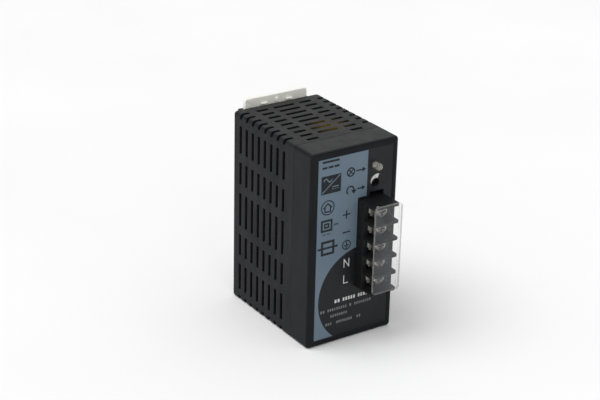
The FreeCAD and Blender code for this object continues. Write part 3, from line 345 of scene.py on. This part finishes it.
def make_materials():
    """All materials by name; a CAD slot takes the material of its own name."""
    seam = at(0, SEAM_DEPTH, 0).y
    # Painted light: amber tint on the walls of the top slots, for light thrown by the transformer's
    # tape.
    painted_amber_light = (at(4.5, 26, 90.2), 0.010, (0.17, 0.12, 0.025))
    # In the moulded materials the edge colour stands for rubbed wear and a painted highlight.
    made = (
        moulded(
            "case_plastic", (0.0095, 0.0100, 0.0118), (0.0135, 0.0140, 0.0162), (0.42, 0.58),
            wear_and_highlight=(0.034, 0.036, 0.040), edge_radius=0.0005, depth=0.00003,
            # painted top light: faces that look up are lighter, as if lit from above
            painted_top_light=(0.030, 0.0305, 0.0305), painted_glow=painted_amber_light, seam=seam, Specular_IOR_Level=0.11,
        ),
        moulded(
            "front_plastic", (0.0080, 0.0086, 0.0102), (0.0110, 0.0118, 0.0138), (0.30, 0.44),
            # painted top light: faces that look up are lighter, as if lit from above
            wear_and_highlight=(0.040, 0.043, 0.048), edge_radius=0.0005, painted_top_light=(0.029, 0.0295, 0.030),
            seam=seam, Specular_IOR_Level=0.08,
        ),
        printed_film(),
        print_ink("dark_ink", (0.012, 0.014, 0.018), (0.024, 0.028, 0.034)),
        print_ink("pale_ink", (0.11, 0.11, 0.115), (0.20, 0.20, 0.205)),
        print_ink("white_ink", (0.50, 0.50, 0.49), (0.66, 0.66, 0.65)),
        # film colour showing through the dark square
        print_ink("sign_ink", (0.105, 0.15, 0.19), (0.14, 0.195, 0.24)),
        moulded(
            "block_plastic", (0.0085, 0.0088, 0.0095), (0.0140, 0.0145, 0.0155), (0.32, 0.48),
            grain=5200, wear_and_highlight=(0.030, 0.031, 0.034), edge_radius=0.0003, Specular_IOR_Level=0.15,
        ),
        clear_plastic(),
        moulded(
            "nylon", (0.86, 0.86, 0.80), (0.93, 0.93, 0.86), (0.34, 0.5), grain=2400,
            depth=0.000015, wear_and_highlight=(0.94, 0.94, 0.90), Subsurface_Weight=0.2,
            Subsurface_Scale=0.0012, Subsurface_Radius=(1.0, 0.95, 0.85),
        ),
        plated("spring_steel", (0.32, 0.33, 0.34), (0.62, 0.63, 0.65), (0.22, 0.4)),
        plated(
            "plated_steel", (0.26, 0.26, 0.25), (0.52, 0.51, 0.49), (0.24, 0.42),
            stain=(0.30, 0.27, 0.21),
        ),
        plated(
            "tinned_brass", (0.74, 0.73, 0.67), (0.92, 0.91, 0.85), (0.34, 0.52),
            stain=(0.72, 0.66, 0.48), Metallic=0.3,
        ),
        plated("tinned_wire", (0.55, 0.55, 0.55), (0.80, 0.80, 0.80), (0.25, 0.4)),
        board_laminate(),
        lamp_plastic(),
        moulded(
            "trimmer_plastic", (0.020, 0.035, 0.075), (0.032, 0.052, 0.105), (0.35, 0.5),
            wear_and_highlight=(0.08, 0.1, 0.16),
        ),
        plated(
            "brass", (0.30, 0.17, 0.06), (0.62, 0.42, 0.18), (0.28, 0.5),
            stain=(0.14, 0.07, 0.03),
        ),
        moulded(
            "film_box", (0.42, 0.30, 0.05), (0.55, 0.42, 0.08), (0.3, 0.45), wear_and_highlight=(0.7, 0.6, 0.25),
        ),
        moulded(
            "epoxy_black", (0.014, 0.014, 0.015), (0.026, 0.026, 0.027), (0.45, 0.62),
            grain=6000, wear_and_highlight=(0.06, 0.06, 0.06),
        ),
        moulded(
            "epoxy_white", (0.50, 0.50, 0.46), (0.62, 0.62, 0.58), (0.4, 0.55),
            grain=6000, wear_and_highlight=(0.72, 0.72, 0.7),
        ),
        plated(
            "aluminium", (0.52, 0.53, 0.54), (0.74, 0.75, 0.76), (0.32, 0.5), stretch=(1, 14, 1),
        ),
        moulded(
            "fuse_body", (0.10, 0.022, 0.014), (0.16, 0.035, 0.022), (0.25, 0.4),
            wear_and_highlight=(0.3, 0.1, 0.07),
        ),
        moulded(
            "capacitor_sleeve", (0.012, 0.014, 0.026), (0.020, 0.023, 0.042), (0.18, 0.3),
            wear_and_highlight=(0.06, 0.07, 0.12),
        ),
        moulded(
            "ferrite", (0.030, 0.031, 0.034), (0.062, 0.062, 0.066), (0.5, 0.72),
            grain=3000, depth=0.00004, wear_and_highlight=(0.13, 0.13, 0.135),
        ),
        moulded(
            "disc_blue", (0.018, 0.075, 0.30), (0.030, 0.11, 0.40), (0.2, 0.34),
            wear_and_highlight=(0.1, 0.22, 0.6),
        ),
        moulded(
            "disc_dark", (0.022, 0.036, 0.022), (0.040, 0.058, 0.038), (0.25, 0.4),
            wear_and_highlight=(0.1, 0.13, 0.1),
        ),
        wound(
            "copper", 0.0004, (0.20, 0.055, 0.015), (0.60, 0.23, 0.08), (0.22, 0.36), Metallic=0.85,
        ),
        wound(
            "amber_tape", 0.0058, (0.62, 0.33, 0.03), (0.82, 0.50, 0.07), (0.16, 0.3),
            Coat_Weight=0.6, Coat_Roughness=0.15,
        ),
        pale_floor(),
    )
    # Blender numbers a name that the CAD pieces already use, as in case_plastic.001.
    return {material.name.split(".")[0]: material for material in made}


# ---------------------------------------------------------------- meshes


def add_piece(name, mesh, body, material, smooth=True):
    """Puts a mesh into the scene as a piece that rides on a body."""
    if smooth:
        for face in mesh.polygons:
            face.use_smooth = True
    piece = bpy.data.objects.new(name, mesh)
    mesh.materials.append(material)
    bpy.context.collection.objects.link(piece)
    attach(piece, body)
    return piece


def mesh_of(name, points, faces):
    mesh = bpy.data.meshes.new(name)
    mesh.from_pydata([tuple(p) for p in points], [], faces)
    mesh.update()
    return mesh


def turn_faces(mesh, forward=False):
    """Points a closed mesh's faces outward, or with forward those of a print to the front."""
    shape = bmesh.new()
    shape.from_mesh(mesh)
    bmesh.ops.recalc_face_normals(shape, faces=shape.faces)
    if forward:
        for face in shape.faces:
            if face.normal.y > 0:
                face.normal_flip()
    shape.to_mesh(mesh)
    shape.free()


def tube(name, points, sides):
    """A closed mesh through rings of points, each ring with this many sides."""
    rings = len(points) // sides
    faces = [tuple(range(sides))[::-1], tuple(range((rings - 1) * sides, rings * sides))]
    for near in range(0, (rings - 1) * sides, sides):
        far = near + sides
        for side in range(sides):
            after = (side + 1) % sides
            faces.append((near + side, near + after, far + after, far + side))
    mesh = mesh_of(name, points, faces)
    turn_faces(mesh)
    return mesh


def lathe(name, centre, profile, segments=48):
    """A closed turned shape about a line along depth; profile holds (radius, depth) pairs."""
    points = []
    for radius, depth in profile:
        for step in range(segments):
            angle = math.tau * step / segments
            across = centre[0] + radius * math.cos(angle)
            points.append(at(across, depth, centre[1] + radius * math.sin(angle)))
    return tube(name, points, segments)


def round_edges(node, width):
    """Rounds a CAD node's sharp edges by millimetres for looks; its mesh stays as it is."""
    piece = NODES[node]
    weld = piece.modifiers.new("weld", "WELD")
    weld.merge_threshold = 1e-6
    flat = piece.modifiers.new("flat", "DECIMATE")
    flat.decimate_type, flat.angle_limit = "DISSOLVE", math.radians(0.6)
    edge = piece.modifiers.new("edge", "BEVEL")
    edge.width, edge.segments = width / 1000, 2
    edge.limit_method, edge.angle_limit = "ANGLE", math.radians(35)
    edge.miter_outer = "MITER_ARC"
    piece.modifiers.new("normals", "WEIGHTED_NORMAL").keep_sharp = True


class Ink:
    """Flat printed shapes on the film, gathered into one mesh; (across, height) in mm.

    depth is how far the print lies behind the film's front, in mm: a negative one is in front."""

    def __init__(self, depth=-0.03):
        self.points, self.faces = [], []
        self.front = FILM_FRONT + depth / 1000

    def shape(self, corners):
        """One flat face with these corners."""
        start = len(self.points)
        front = self.front - INK_LAYER * len(self.faces)
        for across, height in corners:
            place = at(across, 0, height)
            self.points.append((place.x, front, place.z))
        self.faces.append(tuple(range(start, start + len(corners))))

    def bar(self, left, bottom, width, height):
        right, top = left + width, bottom + height
        self.shape([(left, bottom), (right, bottom), (right, top), (left, top)])

    def stroke(self, path, width):
        """A line of this width along the path, with square ends."""
        for (ax, az), (bx, bz) in zip(path, path[1:]):
            length = math.hypot(bx - ax, bz - az)
            ux, uz = (bx - ax) / length * width / 2, (bz - az) / length * width / 2
            self.shape([
                (ax - ux + uz, az - uz - ux), (bx + ux + uz, bz + uz - ux),
                (bx + ux - uz, bz + uz + ux), (ax - ux - uz, az - uz + ux),
            ])

    def arc(self, centre, inner, outer, start=0.0, end=360.0, steps=48):
        """A band between two radii; each radius may be a (from, to) pair."""
        inner = inner if isinstance(inner, tuple) else (inner, inner)
        outer = outer if isinstance(outer, tuple) else (outer, outer)
        rim = []
        for step in range(steps + 1):
            share = step / steps
            angle = math.radians(start + (end - start) * share)
            near = inner[0] + (inner[1] - inner[0]) * share
            far = outer[0] + (outer[1] - outer[0]) * share
            way = (math.cos(angle), math.sin(angle))
            rim.append([(centre[0] + r * way[0], centre[1] + r * way[1]) for r in (near, far)])
        for (a, b), (c, d) in zip(rim, rim[1:]):
            self.shape([a, b, d, c])

    def words(self, left, bottom, height, widths, gap=0.75):
        """Rows of plain ticks in groups, standing in for small print."""
        for width in widths:
            count = max(1, round(width / (height * 0.85)))
            step = width / count
            for tick in range(count):
                self.bar(left + tick * step, bottom, step * 0.62, height)
            left += width + gap

    def done(self, name, material):
        mesh = mesh_of(name, self.points, self.faces)
        turn_faces(mesh, forward=True)
        return add_piece(name, mesh, "root", material, smooth=False)


def print_label(made):
    """Generic marks only: symbols for the terminals and plain bars where text would be."""
    dark = Ink()
    # direct current sign, in the rating's place
    dark.bar(-16.9, 86.0, 8.6, 0.95)
    for left in (-16.9, -13.85, -10.8):
        dark.bar(left, 83.4, 2.5, 0.95)
    # converter sign in a dark square
    dark.bar(-17.2, 71.9, 10, 8.2)
    # ring with a plain roof inside
    ring = (-13.6, 65.5)
    dark.arc(ring, 2.95, 3.45)
    dark.stroke([(-15.6, 65.5), (-13.6, 67.4), (-11.6, 65.5)], 0.6)
    dark.stroke([(-15.0, 65.6), (-15.0, 63.6), (-12.2, 63.6), (-12.2, 65.6)], 0.6)
    # square in a square
    dark.stroke([(-16.4, 54.9), (-11.4, 54.9), (-11.4, 59.5), (-16.4, 59.5), (-16.4, 54.9)], 0.95)
    dark.stroke([(-14.9, 56.4), (-12.9, 56.4), (-12.9, 58.0), (-14.9, 58.0), (-14.9, 56.4)], 0.75)
    dark.words(-10.2, 56.6, 0.8, (2.6,))
    dark.words(-15.9, 52.9, 0.55, (1.7, 1.9), gap=0.5)
    # fuse sign
    dark.stroke([(-17.7, 46.7), (-8.3, 46.7)], 0.95)
    dark.stroke([(-15.9, 43.9), (-10.1, 43.9), (-10.1, 49.5), (-15.9, 49.5), (-15.9, 43.9)], 1.15)
    # lamp sign with a pointer
    lamp = (-2.2, 79.4)
    dark.arc(lamp, 1.55, 2.15, steps=36)
    for turn in (45, 135):
        dx, dz = 1.7 * math.cos(math.radians(turn)), 1.7 * math.sin(math.radians(turn))
        dark.stroke([(lamp[0] - dx, lamp[1] - dz), (lamp[0] + dx, lamp[1] + dz)], 0.5)
    dark.stroke([(0.8, 79.4), (4.1, 79.4)], 0.6)
    dark.shape([(3.8, 80.5), (3.8, 78.3), (5.6, 79.4)])
    # turning sign with a pointer
    dark.arc((-2.2, 71.0), 1.5, 2.15, -20, 230, 32)
    dark.shape([(-1.7, 70.9), (1.0, 70.9), (-0.35, 69.0)])
    dark.stroke([(1.7, 71.0), (4.1, 71.0)], 0.6)
    dark.shape([(3.8, 72.1), (3.8, 69.9), (5.6, 71.0)])
    # terminal marks: plus, minus and earth
    dark.stroke([(-5.4, 60.2), (-2.0, 60.2)], 0.6)
    dark.stroke([(-3.7, 58.5), (-3.7, 61.9)], 0.6)
    dark.stroke([(-5.2, 51.9), (-1.8, 51.9)], 0.65)
    earth = (-3.2, 45.8)
    dark.arc(earth, 1.8, 2.3, steps=40)
    dark.stroke([(-3.2, 47.3), (-3.2, 45.7)], 0.45)
    for low, half in ((45.5, 1.35), (44.8, 0.85), (44.1, 0.4)):
        dark.bar(earth[0] - half, low, 2 * half, 0.42)
    dark.done("label_dark_print", made["dark_ink"])

    film = Ink(depth=-0.05)
    film.stroke([(-16.6, 72.6), (-7.9, 79.5)], 0.45)
    wave = [(-15.9 + 0.33 * s, 78.0 + 0.8 * math.sin(math.tau * s / 12)) for s in range(13)]
    film.stroke(wave, 0.5)
    film.bar(-11.6, 74.5, 3.2, 0.5)
    film.words(-11.6, 73.5, 0.5, (0.8, 0.8, 0.8), gap=0.4)
    film.done("label_film_print", made["sign_ink"])

    light = Ink()
    light.stroke([(-4.1, 35.4), (-4.1, 39.0), (-1.6, 35.4), (-1.6, 39.0)], 0.42)
    light.stroke([(-4.0, 31.2), (-4.0, 27.6), (-1.9, 27.6)], 0.42)
    # filler bars where ratings would be printed
    light.words(-8.4, 19.0, 1.6, (3.2, 7.0, 5.6), gap=1.1)
    light.done("label_light_print", made["white_ink"])
    faint = Ink()
    faint.words(-15.8, 15.5, 1.3, (2.6, 10.4, 1.4, 9.2), gap=1.2)
    faint.words(-10.4, 12.4, 1.3, (9.2,))
    faint.words(-12.9, 8.8, 1.3, (3.6, 8.6, 2.4), gap=2.2)
    faint.done("label_faint_print", made["pale_ink"])

    # tapered turning mark round the trimmer's hole, on the film
    mark = Ink()
    mark.arc(TRIMMER, (2.1, 2.1), (2.15, 4.3), 185, 62, 40)
    mark.done("trimmer_mark", made["white_ink"])


def make_lamp(made):
    """Clear 3 mm lamp with its cup inside; profiles are (radius, depth) in millimetres."""
    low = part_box("led_lens")[0]
    front = (low.y - COVER_LOW.y) * 1000
    # The ends of a profile stop this far from its middle line.
    pinhole = 0.02
    radius = 1.65
    dome = []
    for step in range(1, 11):
        angle = math.radians(90 - 9 * step)
        dome.append((radius * math.cos(angle), front + radius - radius * math.sin(angle)))
    flange = [(radius, 2.45), (1.72, 2.55), (1.98, 2.62), (1.98, 3.4), (1.9, 3.5), (pinhole, 3.5)]
    outline = lathe("lamp_lens", LAMP, [(pinhole, front), *dome, *flange])
    lens = add_piece("lamp_lens", outline, "root", made["lamp_lens"])
    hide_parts("led_lens")
    cup = lathe("lamp_cup", LAMP, [
        (pinhole, 0.9), (0.35, 0.75), (0.95, 0.25), (1.05, 0.25), (1.05, 1.6), (0.5, 1.9),
        (0.5, 3.3), (pinhole, 3.3),
    ], 32)
    add_piece("lamp_cup", cup, "root", made["plated_steel"])


def make_spring(made):
    """Coil with closed ends between the latch's pocket and the case's post; in metres."""
    low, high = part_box("latch_spring")
    middle = (low + high) / 2
    wire = 0.00019
    radius = (high.x - low.x) / 2 - wire
    turns, steps, sides = 11, 28, 10
    length = high.z - low.z - 2 * wire
    # Rise of each closed end turn; the open turns between share the rest.
    closed = 2.15 * wire
    points = []
    for step in range(turns * steps + 1):
        turn = step / steps
        inner = min(max(turn - 1, 0), turns - 2) / (turns - 2)
        ends = min(turn, 1) + max(turn - turns + 1, 0)
        rise = closed * ends + (length - 2 * closed) * inner
        way = Vector((math.cos(math.tau * turn), math.sin(math.tau * turn), 0))
        spot = Vector((middle.x, middle.y, low.z + wire + rise)) + way * radius
        for side in range(sides):
            angle = math.tau * side / sides
            lift = Vector((0, 0, wire * math.sin(angle)))
            points.append(spot + way * wire * math.cos(angle) + lift)
    mesh = tube("latch_coil", points, sides)
    coil = add_piece("latch_coil", mesh, "root", made["spring_steel"])
    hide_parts("latch_spring")
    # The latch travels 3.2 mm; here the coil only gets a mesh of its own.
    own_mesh(coil)


def dress_nodes(made):
    """Gives the CAD nodes their materials and rounded edges."""
    for node in NODES.values():
        for slot in node.material_slots:
            material = made[slot.material.name.split(".")[0]]
            slot.link = "OBJECT"
            slot.material = material
    NODES["front_cover"].material_slots[0].material = made["front_plastic"]
    for name in ("terminal_block", "rail_latch"):
        round_edges(name, 0.2)
    round_edges("terminal_cover", 0.12)
    for name in NODES:
        if name.startswith(("terminal_contact", "clamp_washer", "terminal_screw")):
            round_edges(name, 0.08)
        elif name in BOARD_PARTS:
            round_edges(name, 0.3)


# ---------------------------------------------------------------- studio


def make_studio(made):
    """A pale floor under an even sky, a broad key light from above and a weak fill."""
    ground = COVER_LOW.z
    corners = [(-4, -4, ground), (4, -4, ground), (4, 8, ground), (-4, 8, ground)]
    mesh = mesh_of("floor", corners, [(0, 1, 2, 3)])
    mesh.materials.append(made["studio_floor"])
    floor = bpy.data.objects.new("floor", mesh)
    bpy.context.collection.objects.link(floor)
    world = bpy.data.worlds.new("studio")
    bpy.context.scene.world = world
    world.use_nodes = True
    background = world.node_tree.nodes["Background"].inputs
    background["Color"].default_value = (1, 1, 1, 1)
    background["Strength"].default_value = 0.70
    sun = bpy.data.lights.new("key", "SUN")
    sun.energy, sun.angle = 1.25, math.radians(40)
    soft = bpy.data.lights.new("fill", "AREA")
    soft.shape, soft.size, soft.energy = "SQUARE", 0.5, 0.8
    for data, place in ((sun, (-0.42, 0.16, 0.90)), (soft, (-0.35, -0.85, 0.55))):
        light = bpy.data.objects.new(data.name, data)
        light.location = place
        light.rotation_euler = (-Vector(place)).to_track_quat("-Z", "Y").to_euler()
        bpy.context.collection.objects.link(light)
    bpy.context.scene.view_settings.view_transform = "Standard"


make_camera()
materials = make_materials()
make_studio(materials)
dress_nodes(materials)
print_label(materials)
make_lamp(materials)
make_spring(materials)
